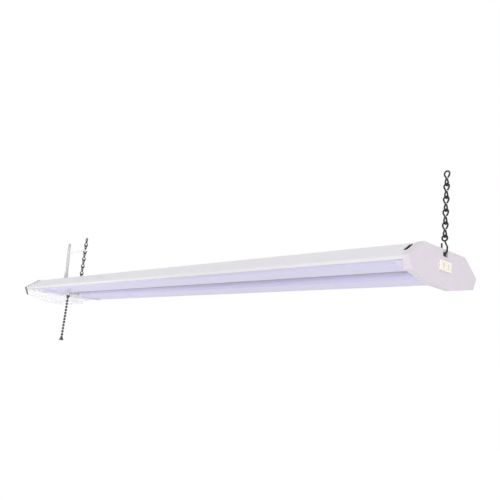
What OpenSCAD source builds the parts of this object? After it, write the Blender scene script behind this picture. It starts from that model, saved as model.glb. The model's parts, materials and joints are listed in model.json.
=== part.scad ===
// Hanging shop light: a folded steel housing with two frosted lenses, a switched pull chain,
// a mains lead with its plug, a socket in the right end cap, and two hanging chains.
// +X is the right end, -Y the front, +Z up. The origin is midway between the chains' top loops.

/* [Housing] */
// Length over both end caps
light_len = 1219; // [1100:1:1300]
// Width across the lower corners
light_w = 188; // [180:1:210]
// Width of the flat top
top_w = 116; // [108:1:124]
// Height of the sloping sides
slope_h = 26; // [23:0.5:30]
// Height of the upright lip below each slope
lip_h = 5; // [4:0.5:8]
// Width of the flange turned in under each lip
flange_w = 6; // [5:0.5:7]
// Thickness of the housing sheet
sheet_t = 1; // [0.8:0.1:1.2]
// Length of each slot in the slopes
slot_len = 22; // [18:1:32]
// Width of each slot in the slopes
slot_w = 7; // [4:0.5:7]
// Distance from the housing's end to the middle of a slot
slot_inset = 6; // [5:0.5:14]
// Distance from the top's edge down the slope to a slot
slot_drop = 4; // [3:0.5:8]
// Distance between the two screw holes in the top
screw_hole_span = 610; // [400:10:700]
// Diameter of the screw holes in the top
screw_hole_d = 5; // [4:0.5:6]

/* [End caps] */
// Depth of an end cap along the light
cap_depth = 12; // [10:0.5:16]
// Thickness of an end cap's walls
cap_wall = 2.5; // [2:0.1:3]
// How far an end cap stands out around the housing
cap_proud = 1; // [0.6:0.1:2]
// Drop from the lip to the lower corners of a cap
cap_corner_drop = 13.5; // [10:0.5:16]
// Drop from the lip to the flat bottom of a cap
cap_keel_drop = 25; // [20:0.5:30]
// Width of the flat bottom of a cap
cap_keel_w = 50; // [40:1:70]
// Length of the tongue that goes into the housing
tongue_len = 12; // [10:1:16]

/* [Tray and lenses] */
// Depth of the tray's plate below the top
tray_depth = 20; // [19:0.5:22]
// Thickness of the tray sheet
tray_t = 0.8; // [0.6:0.1:1]
// Width of one lens
lens_w = 63; // [54:0.5:66]
// How far a lens hangs below the lips
lens_low = 3.5; // [3:0.5:7]
// Wall of a lens
lens_wall = 1.5; // [1.2:0.1:2]
// Radius of a lens's lower corners
lens_r = 8; // [6:0.5:10]
// Distance from the pull chain to the lenses' left ends
bay_rest = 13; // [13:0.5:30]
// Length of a lens's end piece
lens_end_len = 10; // [8:0.5:14]
// Width of a light board
board_w = 20; // [16:1:24]
// Number of diodes on a board
diodes = 36; // [24:1:48]

/* [Pull switch] */
// Distance from the left cap's face to the pull chain
pull_inset = 73; // [66:1:84]
// Travel of the switch when pulled
pull_travel = 8; // [5:0.5:9]
// Diameter of a bead
bead_d = 7; // [4.5:0.1:7]
// Gap from bead to bead
bead_gap = 1.4; // [1:0.1:3]
// Number of beads
beads = 12; // [8:1:20]
// Length of the bell at the end of the beads
bell_len = 12; // [10:0.5:16]
// Width of the bell's mouth
bell_d = 13; // [10:0.5:16]

/* [Chains and hooks] */
// Distance from the left cap's face in to the left hook's middle
left_hook_inset = 131; // [120:1:180]
// Distance from the right cap's face in to the hook's middle
hook_inset = 2; // [1.6:0.1:2.4]
// Diameter of the chain and hook wire
wire_d = 2.6; // [2:0.1:2.6]
// Radius of a chain loop, to the middle of its wire
loop_r = 4.2; // [4:0.1:5]
// Length of a chain loop's straight sides
loop_side = 3; // [2:0.1:4]
// Number of links in each chain
links = 5; // [4:1:10]
// Radius of a hook's bend, to the middle of its wire
hook_r = 4.5; // [4.4:0.1:4.8]
// Height of a hook's eye above the top
hook_eye_h = 18.5; // [18:0.5:26]

/* [Socket] */
// Width of the socket's face
socket_w = 32; // [26:1:36]
// Height of the socket's face
socket_h = 15.5; // [15:0.5:22]
// Depth of the socket's middle below the top
socket_drop = 24; // [21:0.5:28]
// How far the socket stands out of the cap
socket_proud = 2; // [1:0.1:3]

/* [Mains lead] */
// Diameter of the lead
lead_d = 7; // [6:0.1:7]
// Height of the strain relief above the top
relief_h = 36; // [28:1:38]
// Distance from the left cap's tongue to the lead
lead_gap = 18; // [12:1:45]
// Length of the plug's body
plug_len = 38; // [30:1:40]
// Turns in the stored hank
hank_turns = 2; // [1:1:2]

/* [Hidden] */

// Gap between pieces that seat on each other
seat = 0.3;
// Gap between pieces that slide past each other
slip = 0.2;
// A little more than nothing, for clean cuts
over = 1;
// Height of a cut through the housing's sheet
cut_h = 8;

wire_r = wire_d / 2;
loop_h = 2 * loop_r + loop_side;
link_pitch = 2 * loop_h - wire_d - seat;

// Heights above the housing's top
eye_top = hook_eye_h + loop_r;
first_link = eye_top - wire_d - seat + loop_h;
top_link = first_link + (links - 1) * link_pitch;
hang_h = top_link + loop_h - wire_r;

// The housing's top lies this far below the origin
top_z = -hang_h;

// Places along the light
hook_span = light_len - hook_inset - left_hook_inset;
right_hook_x = hook_span / 2;
left_hook_x = -hook_span / 2;
right_face = right_hook_x + hook_inset;
left_face = right_face - light_len;
house_r = right_face - cap_depth;
house_l = left_face + cap_depth;
pull_x = left_face + pull_inset;
bay_r = pull_x + bay_rest;
lead_x = house_l + tongue_len + lead_gap;
tray_r = house_r - tongue_len - slip;
tray_l = bay_r - 1;
lens_right = house_r - slip;
lens_left = bay_r;

// The section across the light
half_w = light_w / 2;
half_top = top_w / 2;
lip_z = -slope_h - lip_h;
slope_a = atan2(slope_h, half_w - half_top);
flange_in = half_w - flange_w;
lens_out = flange_in - seat;
lens_in = lens_out - lens_w;
lens_z = lip_z - lens_low;
lens_mid = (lens_out + lens_in) / 2;
foot_t = 1;
foot_w = 2;
rail_drop = 4;
rail_z = -tray_depth - rail_drop;
rail_t = 0.8;

// Half of the sheet's section, from the middle of the top to the flange's edge
function skin(d) = [
    [half_top - d * tan(slope_a / 2), -d],
    [half_w - d, -(d + sin(slope_a) * (half_w - d - half_top)) / cos(slope_a)],
    [half_w - d, lip_z + d],
    [flange_in, lip_z + d]
];
function backward(p) = [for (i = [len(p) - 1:-1:0]) p[i]];
function flip(p) = [for (q = backward(p)) [-q[0], q[1]]];
// The whole outline of a bent sheet, from the right halves of its outer and inner faces
function band(outer, inner) = concat(flip(outer), outer, backward(inner), backward(flip(inner)));

// Puts a section drawn in Y and Z along X
module along(x0, x1) {
    translate([x0, 0, top_z])
        rotate([90, 0, 90])
            linear_extrude(x1 - x0)
                children();
}

// Places its children at the housing's top
module at_top(x, y = 0, h = 0) {
    translate([x, y, top_z + h])
        children();
}

module rod(a, b, r, sides = 16) {
    d = b - a;
    translate(a)
        rotate([0, acos(d[2] / norm(d)), atan2(d[1], d[0])])
            cylinder(r = r, h = norm(d), $fn = sides);
}

// A round bar bent through an angle in the XZ plane, from +X towards +Z
module bend(r, from, turn) {
    rotate([90, 0, 0])
        rotate([0, 0, from])
            rotate_extrude(angle = turn, $fn = 32)
                translate([r, 0])
                    circle(wire_r, $fn = 24);
}

// ---------- housing ----------

// A round-ended slot, cut through the front slope or the rear one
module slope_slot(x, side) {
    straight = slot_len - slot_w;
    middle = slot_drop + slot_len / 2;
    at_top(x, side * (half_top + middle * cos(slope_a)), -middle * sin(slope_a))
        rotate([-side * slope_a, 0, 0]) {
            for (k = [-1, 1])
                translate([0, k * straight / 2, -cut_h / 2])
                    cylinder(d = slot_w, h = cut_h, $fn = 24);
            translate([-slot_w / 2, -straight / 2, -cut_h / 2])
                cube([slot_w, straight, cut_h]);
        }
}

hook_hole_r = wire_r + 1;
module hook_holes(x, deep) {
    for (k = [-1, 1])
        at_top(x + k * hook_r, 0, -deep)
            cylinder(r = hook_hole_r, h = deep + over + cap_proud, $fn = 24);
}

relief_r = 8;
relief_neck_r = 6;
cap_screw_y = 40;
cap_screw_r = 1.6;

module cap_screw_spots() {
    for (x = [house_l + tongue_len / 2, house_r - tongue_len / 2])
        for (y = [-cap_screw_y, cap_screw_y])
            at_top(x, y)
                children();
}

module housing() {
    color("whitesmoke")
    difference() {
        along(house_l, house_r)
            polygon(band(skin(0), skin(sheet_t)));
        for (x = [house_l + slot_inset, house_r - slot_inset])
            for (side = [-1, 1])
                slope_slot(x, side);
        hook_holes(left_hook_x, cut_h / 2);
        at_top(lead_x, 0, -cut_h / 2)
            cylinder(r = relief_neck_r + slip, h = cut_h, $fn = 32);
        for (k = [-1, 1])
            at_top(k * screw_hole_span / 2 + (house_l + house_r) / 2, 0, -cut_h / 2)
                cylinder(d = screw_hole_d, h = cut_h, $fn = 32);
        cap_screw_spots()
            translate([0, 0, -cut_h / 2])
                cylinder(r = cap_screw_r + slip, h = cut_h, $fn = 24);
        cover_screw_spots()
            translate([0, 0, lip_z - over])
                cylinder(r = cover_screw_r + slip, h = sheet_t + 2 * over, $fn = 24);
    }
}

plate_l = 30;
plate_w = 24;

// Stiffens the sheet under the left hook
module hook_plate() {
    color("silver")
    difference() {
        at_top(left_hook_x - plate_l / 2, -plate_w / 2, -cap_wall)
            cube([plate_l, plate_w, cap_wall - sheet_t - slip / 2]);
        hook_holes(left_hook_x, cut_h / 2);
    }
}

// ---------- end caps ----------

cap_low = lip_z - cap_corner_drop;
cap_bottom = lip_z - cap_keel_drop;

// The cap's outline, drawn in by d all round
function cap_half(d) = let (w = half_w + cap_proud) [
    [half_top + cap_proud / 2 - d * tan(slope_a / 2), cap_proud - d],
    [w - d, -slope_h + cap_proud / 2 - d * 0.4],
    [w - 9 - d * 0.9, cap_low + d * 0.6],
    [cap_keel_w / 2 - d * 0.2, cap_bottom + d]
];

// The tongue's outline, inside the housing and above the tray
function tongue_half(d) = [
    [half_top - sheet_t - slip - d, -sheet_t - slip - d],
    [half_top - sheet_t - slip - d, -tray_depth + 3 + d]
];

module cap_shell(face, inner, tip) {
    lo = min(face, inner);
    hi = max(face, inner);
    out = face > inner ? 1 : -1;
    difference() {
        along(lo, hi)
            polygon(concat(flip(cap_half(0)), cap_half(0)));
        // hollow, but for the keel below the lips
        along(min(inner - out, face - out * cap_wall), max(inner - out, face - out * cap_wall))
            intersection() {
                polygon(concat(flip(cap_half(cap_wall)), cap_half(cap_wall)));
                translate([-light_w, cover_z])
                    square([2 * light_w, -cover_z + over]);
            }
    }
    difference() {
        along(min(tip, face - out), max(tip, face - out))
            polygon(concat(flip(tongue_half(0)), tongue_half(0)));
        along(min(tip - out, face - 2 * out), max(tip - out, face - 2 * out))
            polygon(concat(flip(tongue_half(2)), tongue_half(2)));
    }
}

module cap_screw_bores() {
    cap_screw_spots()
        translate([0, 0, -9])
            cylinder(r = cap_screw_r, h = 12, $fn = 24);
}

module left_end_cap() {
    color("white")
    difference() {
        cap_shell(left_face, house_l, house_l + tongue_len);
        cap_screw_bores();
    }
}

// Window in the right cap, through which the hook's bend shows
window_w = 13;
window_h = 7.5;
// How far the socket's rim laps over the edge of its opening
socket_seat = 2;

// A block of the socket's face size, smaller by rim all round
module socket_block(depth, rim) {
    translate([0, rim - socket_w / 2, rim - socket_h / 2])
        cube([depth, socket_w - 2 * rim, socket_h - 2 * rim]);
}

module right_end_cap() {
    color("white")
    difference() {
        cap_shell(right_face, house_r, house_r - tongue_len);
        cap_screw_bores();
        hook_holes(right_hook_x, 6);
        // window for the hook, under the bar of the top edge
        at_top(right_face - cap_wall - 4, -window_w / 2, -cap_wall - window_h)
            cube([cap_wall + 5, window_w, window_h]);
        // opening for the socket
        at_top(right_face - cap_wall - over, 0, -socket_drop)
            socket_block(cap_wall + 2 * over, socket_seat);
        // room for the socket's body through the tongue
        at_top(house_r - tongue_len - over, -socket_w / 2, -tray_depth)
            cube([tongue_len + cap_depth - cap_wall + over, socket_w, tray_depth - sheet_t - 3.5]);
    }
}

module cap_screws() {
    color("silver")
    cap_screw_spots() {
        translate([0, 0, -8.5])
            cylinder(r = cap_screw_r - 0.05, h = 8.5 + slip, $fn = 24);
        translate([0, 0, slip / 2])
            cylinder(r1 = 3.2, r2 = 2.4, h = 1.8, $fn = 24);
    }
}

// ---------- tray, boards and lenses ----------

// Where a line parallel to the slope, d inside it, passes height z
function slope_y(d, z) = half_top + (-z * cos(slope_a) - d) / sin(slope_a);

// Half of the tray's surface, d inside the housing's skin
function tray_half(d, z) = [
    [slope_y(d, z), z],
    skin(d)[1],
    [half_w - d, lip_z + sheet_t + slip]
];

// The rail under the tray that carries a lens's inner foot, as part of the tray's lower face
rail_y = lens_in - foot_w - rail_t - slip;
tray_under = -tray_depth - tray_t;
rail_half = [
    [rail_y, tray_under], [rail_y, rail_z], [lens_in - 2 * slip, rail_z],
    [lens_in - 2 * slip, rail_z + rail_t], [rail_y + rail_t, rail_z + rail_t],
    [rail_y + rail_t, tray_under]
];
cable_hole_r = 5;
cable_hole_in = 14;

module tray() {
    out = sheet_t + slip;
    color("darkgray")
    difference() {
        union() {
            along(tray_l, tray_r)
                polygon(band(tray_half(out, -tray_depth),
                    concat(rail_half, tray_half(out + tray_t, tray_under))));
            // flange turned down at the left end, between the lenses
            at_top(tray_l, -rail_y - rail_t / 2, cover_z + cover_t + slip)
                cube([tray_t, 2 * rail_y + rail_t, tray_under + tray_t / 2 - cover_z - cover_t - slip]);
        }
        for (x = [tray_l + cable_hole_in, tray_r - cable_hole_in])
            at_top(x, 0, -tray_depth - cut_h / 2)
                cylinder(r = cable_hole_r, h = cut_h, $fn = 24);
    }
}

// A quarter of an arc, as points
function arc(cx, cy, r, a0, a1, n = 6) =
    [for (i = [0:n]) [cx + r * cos(a0 + (a1 - a0) * i / n), cy + r * sin(a0 + (a1 - a0) * i / n)]];

lens_top = -tray_depth - tray_t - slip;
outer_foot = lip_z + sheet_t + seat;
inner_foot = rail_z + rail_t + seat;
// Top of the lens's outer wall, just above its foot
outer_top = outer_foot + foot_t + 1;
// The outer corner starts under the foot
outer_r = min(lens_r, outer_foot - lens_z);
// The inner corner starts under the inner foot
inner_r = min(lens_r, inner_foot - lens_z);

// The lens's outline drawn in by d, from the outer corner round the bottom to the inner corner
function lens_bowl(d) = concat(
    arc(lens_out - outer_r, lens_z + outer_r, outer_r - d, 0, -90),
    arc(lens_in + inner_r, lens_z + inner_r, inner_r - d, -90, -180));

module lens_section() {
    polygon(concat(
        [[lens_out, outer_top], [lens_out, outer_foot + foot_t], [lens_out + foot_w, outer_foot + foot_t],
            [lens_out + foot_w, outer_foot + 0.01]],
        lens_bowl(0),
        [[lens_in, inner_foot], [lens_in - foot_w, inner_foot], [lens_in - foot_w, inner_foot + foot_t],
            [lens_in, inner_foot + foot_t], [lens_in, lens_top], [lens_in + lens_wall, lens_top]],
        backward(lens_bowl(lens_wall)),
        [[lens_out - lens_wall, outer_top]]));
}

module lens() {
    along(lens_left + lens_end_len, lens_right - lens_end_len)
        lens_section();
}

module rear_lens() {
    color("lavender")
        lens();
}

module front_lens() {
    color("lavender")
        mirror([0, 1, 0])
            lens();
}

end_proud = 1.6;

// The outline of an end piece, drawn in by d
function end_line(d) = concat([[lens_out - d, outer_top]], lens_bowl(d), [[lens_in + d, lens_top]]);

// A closed cup that holds a lens's end
module lens_ends() {
    for (e = [[lens_left, 1], [lens_right, -1]]) {
        mouth = e[0] + e[1] * (lens_end_len + 4);
        base = e[0] + e[1] * 2;
        difference() {
            along(min(e[0], mouth), max(e[0], mouth))
                polygon(end_line(-end_proud));
            along(min(base, mouth + e[1]), max(base, mouth + e[1]))
                polygon(concat([[lens_out + slip, outer_top + over]], lens_bowl(-slip),
                    [[lens_in - slip, lens_top + over]]));
            // room for the flange, the rail and the lens's feet
            along(min(e[0], mouth) - over, max(e[0], mouth) + over) {
                translate([lens_out, lip_z - seat])
                    square([10, outer_top - lip_z + over]);
                translate([lens_in - 10, rail_z - seat])
                    square([10, 8]);
            }
        }
    }
}

module rear_lens_ends() {
    color("gainsboro")
        lens_ends();
}

module front_lens_ends() {
    color("gainsboro")
        mirror([0, 1, 0])
            lens_ends();
}

board_t = 1.6;
board_l = lens_left + lens_end_len + 8;
board_r = lens_right - lens_end_len - 8;
board_z = -tray_depth - tray_t - slip / 2 - board_t;

module light_board() {
    at_top(board_l, lens_mid - board_w / 2, board_z)
        cube([board_r - board_l, board_w, board_t]);
}

module diode_row() {
    step = (board_r - board_l) / diodes;
    for (i = [0:diodes - 1])
        at_top(board_l + step * (i + 0.5) - 1.75, lens_mid - 1.75, board_z - 0.85)
            cube([3.5, 3.5, 0.8]);
}

module rear_light_board() {
    color("white")
        light_board();
}

module front_light_board() {
    color("white")
        mirror([0, 1, 0])
            light_board();
}

module rear_diodes() {
    color("khaki")
        diode_row();
}

module front_diodes() {
    color("khaki")
        mirror([0, 1, 0])
            diode_row();
}

// ---------- driver and wiring ----------

driver_len = 180;
driver_w = 40;
driver_h = 15;
driver_x = 60;
driver_z = -tray_depth + 1.4;
foot_l = 12;
driver_foot_w = 16;
driver_foot_t = 1;

module driver() {
    color("silver")
        at_top(driver_x, -driver_w / 2, driver_z)
            cube([driver_len, driver_w, driver_h]);
}

module driver_feet() {
    color("silver")
        for (x = [driver_x - foot_l, driver_x + driver_len + slip])
            at_top(x, -driver_foot_w / 2, -tray_depth + slip) {
                cube([foot_l - slip, driver_foot_w, driver_foot_t]);
                translate([x < driver_x ? foot_l - slip - driver_foot_t : 0, 0, 0])
                    cube([driver_foot_t, driver_foot_w, 10]);
            }
}

supply_r = 1.3;
supply_gap = 4;
supply_y = driver_w / 2 + supply_gap;
// How far the wires stop short of the tray's left and right ends
supply_left = cable_hole_in + cable_hole_r + 1;
supply_right = 4;

// Three insulated wires that lie on the tray beside the driver
module supply_wires() {
    wire_z = -tray_depth + supply_r + seat;
    color("dimgray")
        for (y = [-supply_y - 2 * supply_r - seat, -supply_y, supply_y])
            at_top(0, y)
                rod([tray_l + supply_left, 0, wire_z], [tray_r - supply_right, 0, wire_z], supply_r);
}

// ---------- wiring cover and pull switch ----------

cover_t = 1;
cover_z = lip_z - slip - cover_t;
bushing_r = 4.6;
bushing_len = 9;
stem_r = 1.2;
nut_h = 2.6;
stem_end = cover_z - bushing_len - 3;
cover_screw_r = 1.2;
screw_head_h = 1.5;

module cover_screw_spots() {
    for (x = [house_l + 8, bay_r - 14])
        for (s = [-1, 1])
            at_top(x, s * (flange_in + flange_w / 2 - 0.6))
                children();
}

module wiring_cover() {
    color("white")
    difference() {
        at_top(house_l + slip, -half_w + 1, cover_z)
            cube([bay_r - house_l - 2 * slip, 2 * half_w - 2, cover_t]);
        at_top(pull_x, 0, cover_z - over)
            cylinder(r = bushing_r + slip, h = cover_t + 2 * over, $fn = 32);
        cover_screw_spots()
            translate([0, 0, cover_z - over])
                cylinder(r = cover_screw_r + slip, h = cover_t + 2 * over, $fn = 24);
    }
}

module cover_screws() {
    color("silver")
        cover_screw_spots()
            translate([0, 0, cover_z - slip / 2 - screw_head_h]) {
                cylinder(r1 = 1.6, r2 = 2.2, h = screw_head_h, $fn = 24);
                cylinder(r = cover_screw_r, h = screw_head_h + 5, $fn = 24);
            }
}

body_z = cover_z + cover_t + slip / 2;
body_h = 20;
body_wall = 2;
// The stem's flange, which travels inside the switch's body
flange_r = 3;
flange_t = 1.4;
flange_z = body_z + body_wall + seat + pull_travel;

module pull_switch() {
    color("dimgray")
    difference() {
        union() {
            at_top(pull_x - 11, -9, body_z)
                cube([22, 18, body_h]);
            at_top(pull_x, 0, cover_z - bushing_len)
                cylinder(r = bushing_r, h = bushing_len + cover_t + over, $fn = 32);
        }
        at_top(pull_x, 0, cover_z - bushing_len - over)
            cylinder(r = stem_r + seat, h = bushing_len + cover_t + body_wall + 2 * over, $fn = 32);
        at_top(pull_x, 0, body_z + body_wall)
            cylinder(r = flange_r + 1, h = pull_travel + flange_t + 2 * seat, $fn = 32);
    }
}

module switch_nut() {
    color("silver")
    difference() {
        at_top(pull_x, 0, cover_z - nut_h - slip / 2)
            cylinder(r = 7.6, h = nut_h, $fn = 6);
        at_top(pull_x, 0, cover_z - nut_h - over)
            cylinder(r = bushing_r + 0.05, h = nut_h + 2 * over, $fn = 32);
    }
}

module pull_stem() {
    color("silver") {
        at_top(pull_x, 0, stem_end)
            cylinder(r = stem_r, h = flange_z + flange_t / 2 - stem_end, $fn = 24);
        at_top(pull_x, 0, flange_z)
            cylinder(r = flange_r, h = flange_t, $fn = 24);
        at_top(pull_x, 0, stem_end)
            sphere(d = bead_d * 0.8, $fn = 24);
    }
}

bead_pitch = bead_d + bead_gap;
// The beads start under the stem's own bead
bead_top = stem_end - bead_d * 0.4 - seat - bead_d / 2;
pull_pivot = stem_end;
bell_z = bead_top - (beads - 1) * bead_pitch - bead_d / 2 - slip;

module bead_chain() {
    color("dimgray") {
        for (i = [0:beads - 1])
            at_top(pull_x, 0, bead_top - i * bead_pitch)
                sphere(d = bead_d, $fn = 20);
        at_top(pull_x, 0, bead_top - (beads - 1) * bead_pitch)
            cylinder(r = 0.8, h = (beads - 1) * bead_pitch, $fn = 16);
    }
}

bell_r = bell_d / 2;

module pull_bell() {
    color("dimgray")
        at_top(pull_x, 0, bell_z - bell_len)
            rotate_extrude($fn = 32)
                polygon([[0, 0], [bell_r - 0.3, 0], [bell_r, 1.4], [0.7 * bell_r, 3.8],
                    [0.4 * bell_r, bell_len - 1.8], [0.25 * bell_r, bell_len], [0, bell_len]]);
}

// ---------- socket ----------

// The two flat blades of a polarized plug: place across, height and thickness
blade_gap = 12.7;
BLADES = [[-blade_gap / 2, 7.9, 1.5], [blade_gap / 2, 6.3, 1.5]];
blade_l = 16;
blade_play = 0.4;

module socket() {
    face_x = right_face + socket_proud;
    color("ivory")
    difference() {
        union() {
            at_top(right_face + slip / 2, 0, -socket_drop)
                socket_block(socket_proud, 0);
            at_top(right_face - cap_depth - 4, 0, -socket_drop)
                socket_block(cap_depth + 5, socket_seat + slip);
        }
        // two blade slots, the neutral one taller
        for (b = BLADES)
            at_top(face_x - blade_l + over, b[0], -socket_drop)
                translate([0, -b[2] / 2 - blade_play, -b[1] / 2 - blade_play])
                    cube([blade_l + over, b[2] + 2 * blade_play, b[1] + 2 * blade_play]);
    }
}

module socket_contacts() {
    color("gold")
        for (b = BLADES)
            at_top(right_face - cap_depth + 3, b[0] - b[2] / 2, -socket_drop - b[1] / 2)
                cube([2, b[2], b[1]]);
}

// ---------- chains and hooks ----------

// One closed loop that stands in the XZ plane, from its lowest wire at height 0
module chain_loop() {
    for (k = [0, 1])
        translate([0, 0, loop_r + k * loop_side])
            bend(loop_r, k * 180 + 180, 180);
    for (s = [-1, 1])
        translate([s * loop_r, 0, loop_r])
            cylinder(r = wire_r, h = loop_side, $fn = 16);
}

// A twisted link: the upper loop stands across the lower one
module chain_link(x, h) {
    at_top(x, 0, h) {
        chain_loop();
        rotate([0, 0, 90])
            translate([0, 0, -loop_h])
                chain_loop();
    }
}

module chain_part(x, from, to) {
    color("dimgray")
        for (i = [from:to])
            chain_link(x, first_link + i * link_pitch);
}

module left_top_link() {
    chain_part(left_hook_x, links - 1, links - 1);
}

module right_top_link() {
    chain_part(right_hook_x, links - 1, links - 1);
}

module left_chain() {
    chain_part(left_hook_x, 0, links - 2);
}

module right_chain() {
    chain_part(right_hook_x, 0, links - 2);
}

// Middle of a hook's bend: its wire bears on both lower edges of the bar between the hook holes
hook_bar = hook_r - hook_hole_r;
hook_mid = -cap_wall + sqrt(pow(hook_r - wire_r - seat, 2) - pow(hook_bar, 2));
hook_tip = 6;
open_tip = 11;

module hook(x, s) {
    color("dimgray")
        at_top(x) {
            translate([0, 0, hook_mid])
                bend(hook_r, 180, 180);
            // outer shank, leaning in to the eye
            translate([s * hook_r, 0, hook_mid])
                cylinder(r = wire_r, h = hook_tip - hook_mid, $fn = 32);
            rod([s * hook_r, 0, hook_tip - wire_r], [0, 0, hook_eye_h - loop_r], 0.9 * wire_r, 32);
            // open tip
            translate([-s * hook_r, 0, hook_mid])
                cylinder(r = wire_r, h = open_tip - hook_mid, $fn = 32);
            // eye
            translate([0, 0, hook_eye_h])
                bend(loop_r, 0, 360);
        }
}

module left_hook() {
    hook(left_hook_x, 1);
}

module right_hook() {
    hook(right_hook_x, 1);
}

// ---------- mains lead ----------

lead_r = lead_d / 2;
// Gap between the lead's lengths, and between the lead and what holds it
butt = 0.05;
plug_neck = 12;
// Height of the lead's middle where it lies on the top
lie = lead_r + 0.9;
plug_w = 24;
plug_h = 15;
plug_z = seat + plug_h / 2;

// The lead's free route from the strain relief to the hank: x from the lead's exit, y, height
RISE = [
    [0, 0, 36], [-0.5, 0, 50], [-2, 0, 64], [-5, 0, 78], [-8, 0, 88], [-10, 1, 99], [-16, 4, 109],
    [-25, 8.5, 116], [-35, 13.5, 118], [-45, 18.5, 116], [-54, 23, 109], [-60, 26, 99], [-62, 27, 88],
    [-61.5, 27.5, 76], [-60, 28, 64], [-58.5, 28, 52], [-57, 28, 40], [-53.5, 28, 26], [-46, 28, 14],
    [-36, 28, 7], [-25, 28.5, 4.8], [-10, 30, 4.4], [10, 34, 4.4], [30, 40, 4.4], [50, 46, 4.4],
    [72, 50, 4.4], [96, 51.5, 4.4], [120, 52, 4.4], [150, 52, 4.4]
];
// The hank: middle across the light, ends of its runs, and its first radius
hank_y = 16;
hank_x0 = lead_x + RISE[len(RISE) - 1][0];
hank_run = 140;
hank_r = 36;
hank_step = lead_d + 0.6;
hank_rings = 24;
// The lead's tail, from the hank's inner end to the plug: x, y from its middle, share of its climb
TAIL = [
    [0, 20.8, 0], [12, 20.4, 0], [26, 17.6, 0.02], [40, 12, 0.15], [54, 6, 0.5], [66, 1.8, 0.8],
    [78, 0.2, 0.98], [88, 0, 1]
];
tail_len = TAIL[len(TAIL) - 1][0];

function hank_radius(i) = hank_r - hank_step * i / hank_rings;
// Point i of the hank, with 10 rings in each round end
function hank_point(i) = let (k = i % hank_rings, r = hank_radius(i),
        a = k <= 1 ? 90 : k <= 12 ? 90 - 180 * (k - 1) / 11 : k == 13 ? -90 : -90 - 180 * (k - 13) / 11,
        x = k == 0 ? 0 : k <= 12 ? hank_run : 0)
    [hank_x0 + x + r * cos(a), hank_y + r * sin(a), lie];
HANK = [for (i = [0:hank_turns * hank_rings]) hank_point(i)];

hank_end = HANK[len(HANK) - 1];
tail_path = [for (p = TAIL) [
    hank_end[0] + p[0],
    hank_y + p[1] * (hank_end[1] - hank_y) / TAIL[0][1],
    lie + p[2] * (plug_z - lie)
]];
plug_x = hank_end[0] + tail_len;

gaps_in_hank = [for (i = [0:len(HANK) - 1]) for (j = [i + hank_rings / 2:1:len(HANK) - 1])
    norm(HANK[i] - HANK[j]) - lead_d];
echo(least_gap_in_hank = min(concat(gaps_in_hank, [99])));
function path_len(p, i = 1) = i >= len(p) ? 0 : norm(p[i] - p[i - 1]) + path_len(p, i + 1);
echo(lead_length = path_len(RISE) + path_len(HANK) + path_len(tail_path));

function unit(v) = v / norm(v);
// Carries a side direction along the path without twist
function carried(t, i, v) = i >= len(t) ? [] :
    let (w = unit(v - (v * t[i]) * t[i])) concat([w], carried(t, i + 1, w));

// A round bar along a path, cut square to the headings it is given for its two ends
module tube(path, r, sides, first, last) {
    rings = len(path);
    t = concat([first], [for (i = [1:rings - 2]) unit(path[i + 1] - path[i - 1])], [last]);
    side = carried(t, 0, abs(first[2]) > 0.7 ? [1, 0, 0] : [0, 0, 1]);
    points = [for (i = [0:rings - 1]) for (k = [0:sides - 1])
        let (a = 360 * (k + 0.5) / sides)
            path[i] + r * cos(a) * side[i] + r * sin(a) * cross(t[i], side[i])];
    walls = [for (i = [0:rings - 2]) for (k = [0:sides - 1]) for (f = [0, 1])
        let (a = i * sides + k, b = i * sides + (k + 1) % sides)
            f == 0 ? [a, b, b + sides] : [a, b + sides, a + sides]];
    lids = concat([for (k = [1:sides - 2]) [0, k + 1, k]],
        [for (k = [1:sides - 2]) let (m = (rings - 1) * sides) [m, m + k, m + k + 1]]);
    polyhedron(points = points, faces = [for (f = concat(walls, lids)) [f[2], f[1], f[0]]]);
}

// The path with its first point a hair further on, so that it doesn't touch the piece before it
function parted(start, path, way = [0, 0, 1]) =
    concat([start + butt * way], [for (i = [1:len(path) - 1]) path[i]]);

module strain_relief() {
    color("white")
    difference() {
        at_top(lead_x)
            rotate_extrude($fn = 32)
                polygon([[lead_r + butt, -8], [relief_neck_r, -8], [relief_neck_r, slip / 2],
                    [relief_r, slip / 2], [relief_r, 3], [6.2, 6], [lead_r + 1, relief_h],
                    [lead_r + butt, relief_h]]);
        // flexing grooves
        for (h = [12:6:relief_h - 8])
            at_top(lead_x, 0, h)
                difference() {
                    cylinder(r = 12, h = 1.6, $fn = 32);
                    translate([0, 0, -over])
                        cylinder(r = lead_r + 0.8, h = 1.6 + 2 * over, $fn = 32);
                }
    }
}

module relief_nut() {
    color("white")
    difference() {
        at_top(lead_x, 0, -sheet_t - slip / 2 - 3)
            cylinder(r = 10, h = 3, $fn = 6);
        at_top(lead_x, 0, -sheet_t - 5)
            cylinder(r = relief_neck_r + butt, h = 8, $fn = 32);
    }
}

module lead_rise() {
    color("gainsboro")
        translate([lead_x, 0, top_z])
            tube(parted([0, 0, relief_h], RISE), lead_r, 8, [0, 0, 1], [1, 0, 0]);
}

module lead_hank() {
    color("gainsboro")
        at_top(0)
            tube(parted(HANK[0], HANK, [1, 0, 0]), lead_r, 6, [1, 0, 0], [1, 0, 0]);
}

module lead_tail() {
    color("gainsboro")
        at_top(0)
            tube(parted(hank_end, tail_path, [1, 0, 0]), lead_r, 8, [1, 0, 0], [1, 0, 0]);
}

module plug() {
    color("white")
        at_top(plug_x + butt, hank_y, plug_z) {
            rotate([0, 90, 0])
                cylinder(r1 = lead_r + 0.6, r2 = lead_r + 2.2, h = plug_neck + over, $fn = 24);
            translate([plug_neck, -plug_w / 2, -plug_h / 2])
                cube([plug_len - plug_neck, plug_w, plug_h]);
        }
}

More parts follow.
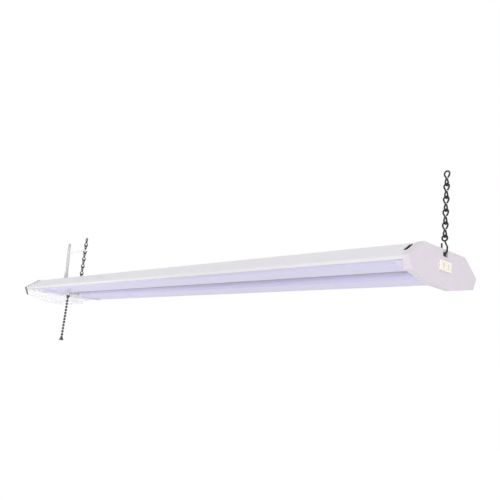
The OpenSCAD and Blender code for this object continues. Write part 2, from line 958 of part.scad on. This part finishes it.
module plug_blades() {
    color("gold")
        for (b = BLADES)
            at_top(plug_x + plug_len + 2 * butt, hank_y + b[0] - b[2] / 2, plug_z - b[1] / 2)
                cube([blade_l, b[2], b[1]]);
}

tie_t = 0.7;
lead_tie_w = 2.4;
// The point of the lead's rise at which the chain holds it
HELD = RISE[4];

module hank_tie() {
    y0 = hank_y - hank_r + hank_step / 2 - lead_r - seat;
    y1 = hank_y + hank_r + lead_r + seat;
    color("white")
    difference() {
        at_top(hank_x0 + 20, y0 - tie_t, 0.05)
            cube([8, y1 - y0 + 2 * tie_t, 2 * lie + tie_t - 0.1]);
        at_top(hank_x0 + 19, y0, 0.05 + tie_t)
            cube([10, y1 - y0, 2 * lie - tie_t]);
    }
}

// A strap from the chain to the standing lead, so that the lead stays up
module lead_tie() {
    far = lead_x + HELD[0] - left_hook_x;
    color("white")
    at_top(left_hook_x, 0, HELD[2] - lead_tie_w / 2)
        linear_extrude(lead_tie_w)
            difference() {
                hull() {
                    circle(loop_r + wire_r + seat + tie_t, $fn = 24);
                    translate([far, 0])
                        circle(lead_r + 2 * seat + tie_t, $fn = 24);
                }
                hull() {
                    circle(loop_r + wire_r + seat, $fn = 24);
                    translate([far, 0])
                        circle(lead_r + 2 * seat, $fn = 24);
                }
            }
}

housing();
left_end_cap();
right_end_cap();
cap_screws();
tray();
front_lens();
rear_lens();
front_lens_ends();
rear_lens_ends();
front_light_board();
rear_light_board();
front_diodes();
rear_diodes();
driver();
driver_feet();
supply_wires();
wiring_cover();
cover_screws();
pull_switch();
switch_nut();
pull_stem();
bead_chain();
pull_bell();
socket();
socket_contacts();
hook_plate();
left_hook();
right_hook();
left_top_link();
right_top_link();
left_chain();
right_chain();
strain_relief();
relief_nut();
lead_rise();
lead_hank();
lead_tail();
plug();
plug_blades();
hank_tie();
lead_tie();
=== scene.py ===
import json
import math

import bmesh
import bpy
from mathutils import Matrix, Vector

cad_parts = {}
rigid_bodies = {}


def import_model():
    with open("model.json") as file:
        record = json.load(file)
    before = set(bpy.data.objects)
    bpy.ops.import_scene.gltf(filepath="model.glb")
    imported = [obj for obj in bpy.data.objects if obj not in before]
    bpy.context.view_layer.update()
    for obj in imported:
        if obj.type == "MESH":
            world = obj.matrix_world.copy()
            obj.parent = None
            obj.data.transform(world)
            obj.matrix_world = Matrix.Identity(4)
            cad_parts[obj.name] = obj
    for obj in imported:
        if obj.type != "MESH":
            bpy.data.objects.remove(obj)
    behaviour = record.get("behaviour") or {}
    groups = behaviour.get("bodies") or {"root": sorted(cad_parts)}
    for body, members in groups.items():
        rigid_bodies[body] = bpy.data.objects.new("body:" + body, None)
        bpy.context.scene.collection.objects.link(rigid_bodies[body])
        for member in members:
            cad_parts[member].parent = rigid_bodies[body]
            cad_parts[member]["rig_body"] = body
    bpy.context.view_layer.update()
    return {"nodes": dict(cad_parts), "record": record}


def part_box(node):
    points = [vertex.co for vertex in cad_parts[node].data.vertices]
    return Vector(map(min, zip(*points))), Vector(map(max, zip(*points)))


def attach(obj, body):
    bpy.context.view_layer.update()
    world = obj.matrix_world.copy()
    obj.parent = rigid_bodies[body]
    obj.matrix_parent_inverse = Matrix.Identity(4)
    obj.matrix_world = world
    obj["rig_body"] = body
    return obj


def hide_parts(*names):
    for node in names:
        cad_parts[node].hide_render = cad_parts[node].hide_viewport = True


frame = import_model()

MM = 0.001

# Camera, fitted to the photograph's edges: place in metres, angles in degrees, lens and sensor in millimetres
CAMERA_AT = (1.002, -0.8057, -0.3312)
HEADING = 137.44
PITCH = 11.63
ROLL = 5.75
LENS_MM = 44.65
SENSOR = 36.0
CAMERA_REACH = 60

# Places that the frame gives, in metres
TOP_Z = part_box("housing")[1].z
FLOOR_DROP = 1.3
FLOOR_Z = TOP_Z - FLOOR_DROP
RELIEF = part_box("strain_relief")
LEAD_X = (RELIEF[0].x + RELIEF[1].x) / 2
RELIEF_H = (RELIEF[1].z - TOP_Z) / MM

# Sizes of the lead, in millimetres
LEAD_D = 7
LEAD_LIFT = 0.9
LIE = LEAD_D / 2 + LEAD_LIFT
LEAD_SIDES = 16
LEAD_STEPS = 5

# The lead's free route, from its exit to the hank: x from the exit, y, height above the top
RISE = [
    (0, 0, 36), (-0.5, 0, 50), (-2, 0, 64), (-5, 0, 78), (-8, 0, 88), (-10, 1, 99), (-16, 4, 109),
    (-25, 8.5, 116), (-35, 13.5, 118), (-45, 18.5, 116), (-54, 23, 109), (-60, 26, 99), (-62, 27, 88),
    (-61.5, 27.5, 76), (-60, 28, 64), (-58.5, 28, 52), (-57, 28, 40), (-53.5, 28, 26), (-46, 28, 14),
    (-36, 28, 7), (-25, 28.5, 4.8), (-10, 30, 4.4), (10, 34, 4.4), (30, 40, 4.4), (50, 46, 4.4),
    (72, 50, 4.4), (96, 51.5, 4.4), (120, 52, 4.4), (150, 52, 4.4),
]
# The hank: its first fold's middle, the length of its runs, the radius and pitch of its turns, all in
# millimetres, and its points for each turn, each of them split once more into HANK_FINE
HANK_X = 150
HANK_Y = 16
HANK_RUN = 140
HANK_R = 36
HANK_STEP = LEAD_D + 0.6
HANK_RINGS = 24
HANK_FINE = 3
HANK_TURNS = 2
# The tail, from the hank to the plug: x from the hank's start, y from its middle, share of its climb
TAIL = [
    (0, 20.8, 0), (12, 20.4, 0), (26, 17.6, 0.02), (40, 12, 0.15), (54, 6, 0.5), (66, 1.8, 0.8),
    (78, 0.2, 0.98), (88, 0, 1),
]


# ---------- small helpers ----------

# Rounded copies of CAD nodes: angles in degrees, lengths in millimetres
SHARP_EDGE = 32
FLAT_ENOUGH = 1
FOLD_SEGMENTS = 4
RUN_SLACK = 0.5
ALONG_X = 0.99
MERGE_M = 1e-6
TUBE_SMOOTH = 50


def piece_from_mesh(name, verts, faces, body, smooth):
    """A new piece that rides on a body, with edges sharper than smooth degrees kept."""
    mesh = bpy.data.meshes.new(name)
    mesh.from_pydata([tuple(v) for v in verts], [], faces)
    mesh.validate()
    obj = bpy.data.objects.new(name, mesh)
    bpy.context.scene.collection.objects.link(obj)
    shade(obj, smooth)
    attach(obj, body)
    return obj


def shade(obj, angle):
    """Smooth shading, with edges sharper than the angle kept."""
    for p in obj.data.polygons:
        p.use_smooth = True
    obj.data.set_sharp_from_angle(angle=math.radians(angle))


def tube_piece(name, paths, radius, body, sides=12):
    """A round bar, in metres, along each list of points, closed at both ends, all in one piece."""
    verts, faces = [], []
    for path in paths:
        first = len(verts)
        heading = (path[1] - path[0]).normalized()
        side = heading.orthogonal().normalized()
        for i, p in enumerate(path):
            step = path[min(i + 1, len(path) - 1)] - path[max(i - 1, 0)]
            turned = step.normalized()
            side = heading.rotation_difference(turned) @ side
            heading = turned
            side = (side - heading * side.dot(heading)).normalized()
            other = heading.cross(side)
            for k in range(sides):
                a = 2 * math.pi * k / sides
                verts.append(p + radius * (math.cos(a) * side + math.sin(a) * other))
        for i in range(len(path) - 1):
            for k in range(sides):
                a, b = first + i * sides + k, first + i * sides + (k + 1) % sides
                faces.append((a, b, b + sides, a + sides))
        last = first + (len(path) - 1) * sides
        faces.append(tuple(range(first + sides - 1, first - 1, -1)))
        faces.append(tuple(range(last, last + sides)))
    return piece_from_mesh(name, verts, faces, body, TUBE_SMOOTH)


def softened(node, width, segments=2, run=None, fold=0.0):
    """A copy of a CAD node with its edges rounded, which stands for that node.

    Edges along X whose length is run, in millimetres, are rounded first, over fold millimetres.
    """
    source = frame["nodes"][node]
    bm = bmesh.new()
    bm.from_mesh(source.data)
    bmesh.ops.remove_doubles(bm, verts=bm.verts, dist=MERGE_M)
    bmesh.ops.dissolve_limit(bm, angle_limit=math.radians(FLAT_ENOUGH), verts=bm.verts, edges=bm.edges)
    if run:
        bent = []
        for edge in bm.edges:
            along = edge.verts[1].co - edge.verts[0].co
            of_length = abs(abs(along.x) - run * MM) < RUN_SLACK * MM
            if of_length and abs(along.x) > ALONG_X * along.length:
                bent.append(edge)
        bmesh.ops.bevel(bm, geom=bent, offset=fold * MM, offset_type="OFFSET", segments=FOLD_SEGMENTS,
                        profile=0.5, affect="EDGES", clamp_overlap=True)
    mesh = bpy.data.meshes.new(node + "_soft")
    bm.to_mesh(mesh)
    bm.free()
    if "custom_normal" in mesh.attributes:
        mesh.attributes.remove(mesh.attributes["custom_normal"])
    obj = bpy.data.objects.new(node + "_soft", mesh)
    bpy.context.scene.collection.objects.link(obj)
    shade(obj, SHARP_EDGE)
    bevel = obj.modifiers.new("round", "BEVEL")
    bevel.width = width * MM
    bevel.segments = segments
    bevel.limit_method = "ANGLE"
    bevel.angle_limit = math.radians(SHARP_EDGE)
    bevel.harden_normals = True
    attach(obj, source["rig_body"])
    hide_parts(node)
    return obj


def eased(points, steps, first=None, last=None):
    """A smooth curve through the points, steps pieces between each two; first and last are end headings."""
    points = [Vector(p) for p in points]
    spans = [(b - a).length for a, b in zip(points, points[1:])]
    slopes = [(b - a) / h for a, b, h in zip(points, points[1:], spans)]
    heads = [Vector(first) if first else slopes[0]]
    for i in range(1, len(points) - 1):
        h0, h1 = spans[i - 1], spans[i]
        heads.append((slopes[i - 1] * h1 + slopes[i] * h0) / (h0 + h1))
    heads.append(Vector(last) if last else slopes[-1])
    out = []
    for i, h in enumerate(spans):
        a, b, u, v = points[i], points[i + 1], heads[i] * h, heads[i + 1] * h
        for s in range(steps):
            t = s / steps
            out.append(a * (2 * t ** 3 - 3 * t * t + 1) + u * (t ** 3 - 2 * t * t + t)
                       + b * (3 * t * t - 2 * t ** 3) + v * (t ** 3 - t * t))
    return out + [points[-1]]


# ---------- camera ----------

def make_camera():
    data = bpy.data.cameras.new("camera")
    data.lens = LENS_MM
    data.sensor_width = SENSOR
    data.clip_end = CAMERA_REACH
    obj = bpy.data.objects.new("camera", data)
    bpy.context.scene.collection.objects.link(obj)
    turn = (Matrix.Rotation(math.radians(HEADING - 90), 4, "Z")
            @ Matrix.Rotation(math.radians(90 + PITCH), 4, "X")
            @ Matrix.Rotation(math.radians(ROLL), 4, "Z"))
    obj.matrix_world = Matrix.Translation(CAMERA_AT) @ turn
    bpy.context.scene.camera = obj


# ---------- mains lead ----------

def hank_points():
    """Middle line of the hank, in millimetres: x from the lead's exit, y, height."""
    points = []
    half = HANK_RINGS // 2
    for j in range(HANK_TURNS * HANK_RINGS * HANK_FINE + 1):
        i = j / HANK_FINE
        k = i % HANK_RINGS
        r = HANK_R - HANK_STEP * i / HANK_RINGS
        if k <= half:
            turn = 90 - 180 * max(0, k - 1) / (half - 1)
            x = HANK_RUN * min(k, 1)
        else:
            turn = -90 - 180 * max(0, k - (half + 1)) / (half - 1)
            x = HANK_RUN * max(0, half + 1 - k)
        a = math.radians(turn)
        points.append(Vector((HANK_X + x + r * math.cos(a), HANK_Y + r * math.sin(a), LIE)))
    return points


def tail_points(start, plug_z):
    """Middle line of the tail, from the hank's inner end to the plug."""
    spread = (start[1] - HANK_Y) / TAIL[0][1]
    return [(start[0] + x, HANK_Y + y * spread, LIE + climb * (plug_z - LIE)) for x, y, climb in TAIL]


def make_lead():
    """The whole lead as one tube, with the points it follows and its length, both in metres."""
    plug_low, plug_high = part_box("plug")
    plug_z = ((plug_low.z + plug_high.z) / 2 - TOP_Z) / MM
    hank = hank_points()
    rise = eased([(0, 0, RELIEF_H)] + RISE[1:], LEAD_STEPS, first=(0, 0, 1), last=(1, 0, 0))
    tail = eased(tail_points(hank[-1], plug_z), LEAD_STEPS, first=(1, 0, 0), last=(1, 0, 0))
    route = rise + hank[1:] + tail[1:]
    path = [Vector((LEAD_X, 0, TOP_Z)) + p * MM for p in route]
    length = sum((b - a).length for a, b in zip(path, path[1:]))
    lead = tube_piece("mains_lead", [path], LEAD_D / 2 * MM, "light", sides=LEAD_SIDES)
    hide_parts("lead_rise", "lead_hank", "lead_tail")
    return lead, path, length


make_camera()
lead, lead_path, lead_length = make_lead()
plug = softened("plug", 1.6, 3)
tie = softened("hank_tie", 0.3)
strap = softened("lead_tie", 0.25)
blades = softened("plug_blades", 0.15)


# ---------- materials ----------

LEAST_ROUGH = 0.02
NOISE_DETAIL = 4
RELIEF_DEPTH = 0.0005
SCATTER = (0.004, 0.004, 0.005)


def material(name, colour, rough, metallic=0.0, shade_by=0.04, grain=60.0, bump=0.02, bump_scale=900.0,
             stretch=(1, 1, 1), rough_by=0.06, coat=0.0, translucent=0.0):
    """A surface whose tone, gloss and relief vary a little over it."""
    mat = bpy.data.materials.new(name)
    mat.use_nodes = True
    nodes, links = mat.node_tree.nodes, mat.node_tree.links
    shader = nodes["Principled BSDF"]
    shader.inputs["Metallic"].default_value = metallic
    shader.inputs["Coat Weight"].default_value = coat
    if translucent:
        shader.inputs["Subsurface Weight"].default_value = translucent
        shader.inputs["Subsurface Radius"].default_value = SCATTER
    place = nodes.new("ShaderNodeTexCoord")
    scale = nodes.new("ShaderNodeMapping")
    scale.inputs["Scale"].default_value = stretch
    links.new(place.outputs["Object"], scale.inputs["Vector"])
    broad = nodes.new("ShaderNodeTexNoise")
    broad.inputs["Scale"].default_value = grain
    broad.inputs["Detail"].default_value = NOISE_DETAIL
    links.new(scale.outputs["Vector"], broad.inputs["Vector"])
    tone = nodes.new("ShaderNodeMixRGB")
    tone.inputs["Color1"].default_value = (*[c * (1 - shade_by) for c in colour], 1)
    tone.inputs["Color2"].default_value = (*[min(1, c * (1 + shade_by)) for c in colour], 1)
    links.new(broad.outputs["Fac"], tone.inputs["Fac"])
    links.new(tone.outputs["Color"], shader.inputs["Base Color"])
    gloss = nodes.new("ShaderNodeMapRange")
    gloss.inputs["To Min"].default_value = max(LEAST_ROUGH, rough - rough_by)
    gloss.inputs["To Max"].default_value = min(1, rough + rough_by)
    links.new(broad.outputs["Fac"], gloss.inputs["Value"])
    links.new(gloss.outputs["Result"], shader.inputs["Roughness"])
    fine = nodes.new("ShaderNodeTexNoise")
    fine.inputs["Scale"].default_value = bump_scale
    links.new(scale.outputs["Vector"], fine.inputs["Vector"])
    relief = nodes.new("ShaderNodeBump")
    relief.inputs["Strength"].default_value = bump
    relief.inputs["Distance"].default_value = RELIEF_DEPTH
    links.new(fine.outputs["Fac"], relief.inputs["Height"])
    links.new(relief.outputs["Normal"], shader.inputs["Normal"])
    return mat


WHITE_PAINT = material("white_paint", (0.80, 0.78, 0.81), 0.38, bump=0.06, bump_scale=1400, coat=0.2)
# Painted shade: the tray is grey so that the strip of it seen between the lenses reads as the dark shadow
# line there
TRAY_SHADE_GREY = material("tray_paint", (0.52, 0.51, 0.57), 0.5, grain=90, bump=0.05, bump_scale=1400)
CAP_PLASTIC = material("cap_plastic", (0.75, 0.69, 0.745), 0.5, grain=25, bump=0.05, bump_scale=2200)
LENS = material("lens_opal", (0.672, 0.643, 0.85), 0.35, grain=18, stretch=(0.15, 1, 1),
                translucent=0.2, coat=0.1)
# Painted shade: a dark grey for the left cap's rim band only, standing in for the shade along that edge
CAP_RIM_PAINTED_SHADE = material("cap_rim_painted_shade", (0.16, 0.16, 0.17), 0.42, grain=25, bump=0.05, bump_scale=2200)
# Painted light: a near-white copy of the cap plastic for the left cap's inner face and underside, brighter
# than their shade allows
CAP_INNER_PAINTED_LIGHT = material("cap_inner_painted_light", (0.96, 0.95, 0.96), 0.5, grain=25, bump=0.05, bump_scale=2200)
LENS_END = material("lens_end_plastic", (0.74, 0.72, 0.84), 0.4, grain=40)
BOARD = material("board_white", (0.88, 0.88, 0.86), 0.5, grain=80)
DIODE = material("diode_yellow", (0.85, 0.75, 0.30), 0.3, grain=300)
ALUMINIUM = material("driver_case", (0.72, 0.72, 0.74), 0.4, metallic=0.9, stretch=(0.1, 1, 1), grain=400)
ZINC = material("zinc", (0.62, 0.62, 0.64), 0.38, metallic=1.0, grain=300, rough_by=0.1)
WIRE_COVER = material("wire_cover", (0.10, 0.10, 0.11), 0.5, grain=200)
SWITCH_BLACK = material("switch_black", (0.06, 0.06, 0.065), 0.45, grain=120)
STEM_METAL = material("stem_metal", (0.40, 0.38, 0.36), 0.35, metallic=1.0, grain=300)
BEAD_DARK = material("bead_dark", (0.10, 0.09, 0.08), 0.3, metallic=0.8, grain=400, shade_by=0.3)
CHAIN_DARK = material("chain_dark", (0.016, 0.016, 0.017), 0.36, metallic=0.35, grain=250,
                      shade_by=0.4, rough_by=0.12)
CREAM = material("socket_cream", (0.96, 0.92, 0.80), 0.5, grain=120)
BRASS = material("contact_brass", (0.72, 0.55, 0.26), 0.3, metallic=1.0, grain=300, rough_by=0.1)
LEAD_GREY = material("lead_grey", (0.62, 0.62, 0.61), 0.55, grain=40, bump=0.05, bump_scale=1500)
RELIEF_WHITE = material("relief_white", (0.68, 0.68, 0.67), 0.55, grain=60)
TIE_WHITE = material("tie_white", (0.93, 0.93, 0.93), 0.4, grain=60)


def paint(obj, mat):
    """Gives every face of a piece one material."""
    obj.data.materials.clear()
    obj.data.materials.append(mat)


NODE_LOOKS = {
    "white_paint": WHITE_PAINT, "tray_paint": TRAY_SHADE_GREY, "cap_white": CAP_PLASTIC, "lens_opal": LENS,
    "lens_end": LENS_END, "board_white": BOARD, "diode": DIODE, "driver_case": ALUMINIUM, "zinc": ZINC,
    "wire_cover": WIRE_COVER, "switch_black": SWITCH_BLACK, "stem_metal": STEM_METAL,
    "bead_dark": BEAD_DARK, "chain_dark": CHAIN_DARK, "socket_cream": CREAM, "contact_brass": BRASS,
    "lead_grey": LEAD_GREY, "relief_white": RELIEF_WHITE, "tie_white": TIE_WHITE,
}
NODE_SLOT = {s["node"]: s["material_slot"] for s in frame["record"]["subparts"]}


def dress(obj, node):
    """Gives a piece the look of the CAD node that it stands for."""
    paint(obj, NODE_LOOKS[NODE_SLOT[node]])


def paint_nodes():
    """Every CAD node takes the look of its slot in the record."""
    for node, obj in frame["nodes"].items():
        dress(obj, node)


# ---------- chains ----------

# Sizes of a link, in millimetres
WIRE_R = 1.3
LOOP_R = 4.2
LOOP_SIDE = 3
LOOP_H = 2 * LOOP_R + LOOP_SIDE
NECK = WIRE_R + 0.1
BOW_STEP = 15
LINK_STEPS = 3
LINKS_BELOW_TOP = 4


def link_wire(x, height):
    """Points of a link's wire, in metres: a loop upward in XZ, then one downward in YZ, met at the neck."""
    centre = LOOP_H - LOOP_R
    legs = [(NECK, 0.8), (NECK + 0.9, 2.4), (LOOP_R * 0.84, 4.6), (LOOP_R * 0.97, 6.2)]
    bow = [(LOOP_R * math.cos(math.radians(a)), centre + LOOP_R * math.sin(math.radians(a)))
           for a in range(0, 181, BOW_STEP)]
    half = legs + bow + [(-u, v) for u, v in reversed(legs)]
    upper = [(u, 0, v) for u, v in half]
    lower = [(0, u, -v) for u, v in half]
    wire = eased(upper + [(-0.9 * NECK, 0.9 * NECK, 0)] + lower, LINK_STEPS)
    return [Vector((x, 0, height)) + p * MM for p in wire]


def make_chains():
    """The wire of every link, placed where the CAD chains are."""
    for side in ("left", "right"):
        low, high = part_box(side + "_top_link")
        x = (low.x + high.x) / 2
        top_height = (low.z + high.z) / 2
        top = tube_piece(side + "_top_link_wire", [link_wire(x, top_height)], WIRE_R * MM, "hangers")
        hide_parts(side + "_top_link")
        paint(top, CHAIN_DARK)
        low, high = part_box(side + "_chain")
        first = low.z + (LOOP_H + WIRE_R) * MM
        last = high.z - (LOOP_H + WIRE_R) * MM
        wires = [link_wire(x, first + (last - first) * i / (LINKS_BELOW_TOP - 1))
                 for i in range(LINKS_BELOW_TOP)]
        chain = tube_piece(side + "_chain_wire", wires, WIRE_R * MM, "light")
        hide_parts(side + "_chain")
        paint(chain, CHAIN_DARK)


# ---------- floor, light ----------

FLOOR_HALF = 14
FLOOR_COLOUR = (0.86, 0.86, 0.86, 1)
FLOOR_ROUGH = 0.9
FLOOR_GLOW = 1.2
FLOOR_SHARE = 0.75
WORLD_COLOUR = (0.97, 0.97, 1.0, 1)
WORLD_POWER = 0.62
MIDDLE = (0, 0, -0.15)
LEFT_END = (-0.67, 0, -0.17)
# name, place, size, power, target, spread; the last is narrow and lights the left cap's inner face
LAMPS = [
    ("key", (1.3, -2.1, 1.7), (2.2, 1.4), 24, MIDDLE, 180),
    ("fill", (2.4, 0.4, 0.6), (1.6, 1.6), 8, MIDDLE, 180),
    ("low", (1.0, -1.3, -1.2), (2.2, 1.0), 16, MIDDLE, 180),
    ("end", (0.25, -0.75, -0.55), (0.5, 0.4), 0.42, LEFT_END, 50),
]


def white_share(tree, share):
    """The factor that mixes share of white in, for camera, glossy and transmission rays only."""
    nodes, links = tree.nodes, tree.links
    rays = nodes.new("ShaderNodeLightPath")
    seen = nodes.new("ShaderNodeMath")
    seen.operation = "MAXIMUM"
    links.new(rays.outputs["Is Camera Ray"], seen.inputs[0])
    links.new(rays.outputs["Is Glossy Ray"], seen.inputs[1])
    through = nodes.new("ShaderNodeMath")
    through.operation = "MAXIMUM"
    links.new(seen.outputs[0], through.inputs[0])
    links.new(rays.outputs["Is Transmission Ray"], through.inputs[1])
    part = nodes.new("ShaderNodeMath")
    part.operation = "MULTIPLY"
    part.inputs[1].default_value = share
    links.new(through.outputs[0], part.inputs[0])
    return part.outputs[0]


def make_floor():
    h = FLOOR_HALF
    mesh = bpy.data.meshes.new("floor")
    mesh.from_pydata([(-h, -h, FLOOR_Z), (h, -h, FLOOR_Z), (h, h, FLOOR_Z), (-h, h, FLOOR_Z)],
                     [], [(0, 1, 2, 3)])
    obj = bpy.data.objects.new("floor", mesh)
    bpy.context.scene.collection.objects.link(obj)
    mat = bpy.data.materials.new("floor")
    mat.use_nodes = True
    tree = mat.node_tree
    shader = tree.nodes["Principled BSDF"]
    shader.inputs["Base Color"].default_value = FLOOR_COLOUR
    shader.inputs["Roughness"].default_value = FLOOR_ROUGH
    glow = tree.nodes.new("ShaderNodeEmission")
    glow.inputs["Strength"].default_value = FLOOR_GLOW
    mix = tree.nodes.new("ShaderNodeMixShader")
    tree.links.new(white_share(tree, FLOOR_SHARE), mix.inputs["Fac"])
    tree.links.new(shader.outputs["BSDF"], mix.inputs[1])
    tree.links.new(glow.outputs["Emission"], mix.inputs[2])
    tree.links.new(mix.outputs["Shader"], tree.nodes["Material Output"].inputs["Surface"])
    obj.data.materials.append(mat)


def make_world():
    world = bpy.data.worlds.new("studio")
    bpy.context.scene.world = world
    world.use_nodes = True
    tree = world.node_tree
    soft = tree.nodes["Background"]
    soft.inputs["Color"].default_value = WORLD_COLOUR
    soft.inputs["Strength"].default_value = WORLD_POWER
    white = tree.nodes.new("ShaderNodeBackground")
    white.inputs["Strength"].default_value = 1.0
    white.inputs["Color"].default_value = (1, 1, 1, 1)
    mix = tree.nodes.new("ShaderNodeMixShader")
    tree.links.new(white_share(tree, 1.0), mix.inputs["Fac"])
    tree.links.new(soft.outputs["Background"], mix.inputs[1])
    tree.links.new(white.outputs["Background"], mix.inputs[2])
    tree.links.new(mix.outputs["Shader"], tree.nodes["World Output"].inputs["Surface"])


def area_light(name, at, size, power, target, spread):
    data = bpy.data.lights.new(name, "AREA")
    data.shape = "RECTANGLE"
    data.size, data.size_y = size
    data.energy = power
    data.spread = math.radians(spread)
    obj = bpy.data.objects.new(name, data)
    bpy.context.scene.collection.objects.link(obj)
    obj.location = at
    obj.rotation_euler = (Vector(target) - Vector(at)).to_track_quat("-Z", "Y").to_euler()


# ---------- the whole ----------

paint_nodes()
paint(lead, LEAD_GREY)
dress(plug, "plug")
dress(tie, "hank_tie")
dress(strap, "lead_tie")
dress(blades, "plug_blades")
# Width of the rounding of each small piece, in millimetres
SOFT_EDGES = {
    "front_lens_ends": 0.5, "rear_lens_ends": 0.5, "wiring_cover": 0.3, "socket": 0.4, "strain_relief": 0.3,
    "cap_screws": 0.2, "switch_nut": 0.2, "cover_screws": 0.2, "pull_stem": 0.05, "bead_chain": 0.05,
    "pull_bell": 0.2, "left_hook": 0.05, "right_hook": 0.05, "driver": 0.6, "pull_switch": 0.4,
}
for node_name, edge in SOFT_EDGES.items():
    dress(softened(node_name, edge), node_name)
CAP_BAND = 12
HOUSING_FOLD = 1195
left_cap = softened("left_end_cap", 0.8, 3, run=CAP_BAND, fold=4.0)
right_cap = softened("right_end_cap", 2.2, 5, run=CAP_BAND, fold=5.0)
dress(right_cap, "right_end_cap")
dress(left_cap, "left_end_cap")
# The left cap alone has painted shade on its rim band (dark grey) and painted light on its inner face and
# underside (near white), unlike the right cap
RIM_SHADE_SLOT, INNER_LIGHT_SLOT = 1, 2
SIDEWAYS, SQUARE_ON = 0.3, 0.7
left_cap.data.materials.append(CAP_RIM_PAINTED_SHADE)
left_cap.data.materials.append(CAP_INNER_PAINTED_LIGHT)
band_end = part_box("housing")[0].x + 0.5 * MM
for face in left_cap.data.polygons:
    reach = max(left_cap.data.vertices[i].co.x for i in face.vertices)
    # Rim band faces of the left cap take the painted shade
    if abs(face.normal.x) < SIDEWAYS and reach < band_end and face.normal.z > -SQUARE_ON:
        face.material_index = RIM_SHADE_SLOT
    # Inner face and underside of the left cap take the painted light
    elif face.normal.x > SQUARE_ON or face.normal.z < -SQUARE_ON:
        face.material_index = INNER_LIGHT_SLOT
dress(softened("housing", 0.3, 2, run=HOUSING_FOLD, fold=1.6), "housing")
make_chains()
make_floor()
make_world()
for lamp in LAMPS:
    area_light(*lamp)

scene = bpy.context.scene
scene.view_settings.view_transform = "Standard"
